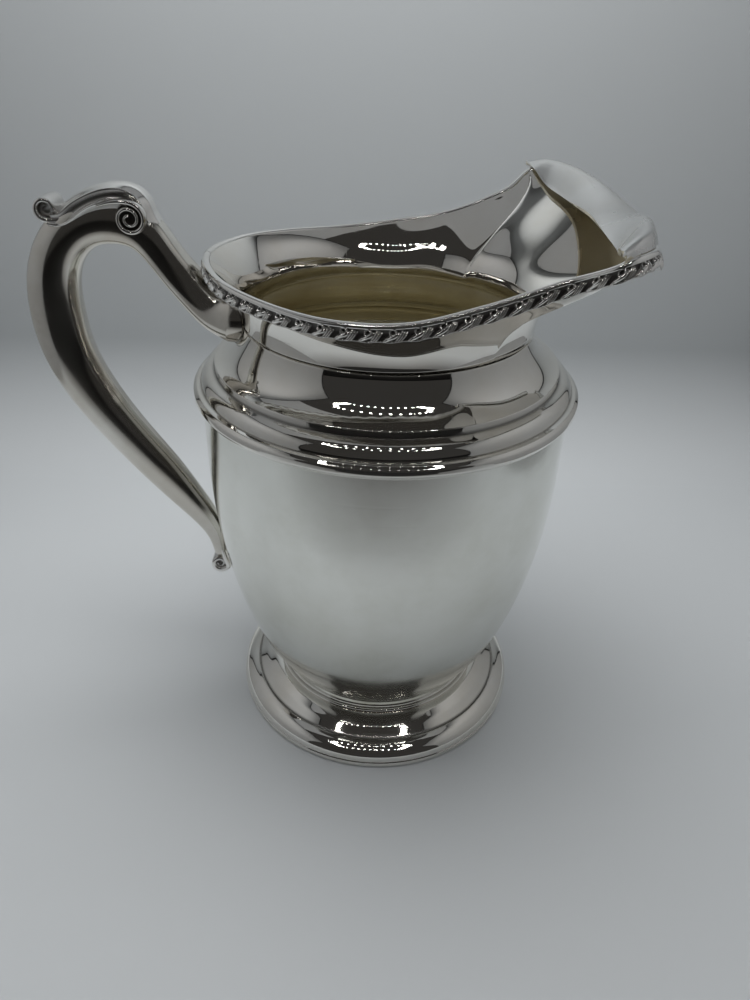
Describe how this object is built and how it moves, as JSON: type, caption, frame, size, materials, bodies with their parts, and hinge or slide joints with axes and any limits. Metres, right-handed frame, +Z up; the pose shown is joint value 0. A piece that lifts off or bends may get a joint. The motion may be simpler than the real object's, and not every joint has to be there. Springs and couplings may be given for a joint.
{
  "type": "water pitcher",
  "caption": "Silver-plated water pitcher on a stepped round foot, with a wide spout, an ice guard over the spout, an ornamented mouth edge and a scrolled handle.",
  "frame": {"origin": "bottom centre of the whole pitcher's bounding box, on the surface it stands on", "axes": "+X toward the spout, -X toward the handle, +Z up; the pitcher's plane of symmetry is y = 0"},
  "size_m": [0.2193, 0.1418, 0.2155],
  "materials": {
    "polished_silver": "polished silver plate with fine hairline scratches and light haze; the inside is yellowed",
    "oxidised_silver": "cast and polished silver plate, with dark oxide left in the recesses"
  },
  "bodies": {
    "root": {"body_bowl": "polished_silver", "shoulder_neck": "polished_silver", "belt_bead": "polished_silver", "rim_border_left": "oxidised_silver", "rim_border_right": "oxidised_silver", "ice_guard": "polished_silver", "foot_collar": "polished_silver", "foot_shell": "polished_silver", "foot_base_ring": "polished_silver", "handle_half_left": "polished_silver", "handle_half_right": "polished_silver", "handle_thumb_scroll": "oxidised_silver", "handle_tail_scroll": "polished_silver", "handle_upper_pad": "polished_silver", "handle_lower_pad": "polished_silver"}
  },
  "joints": []
}
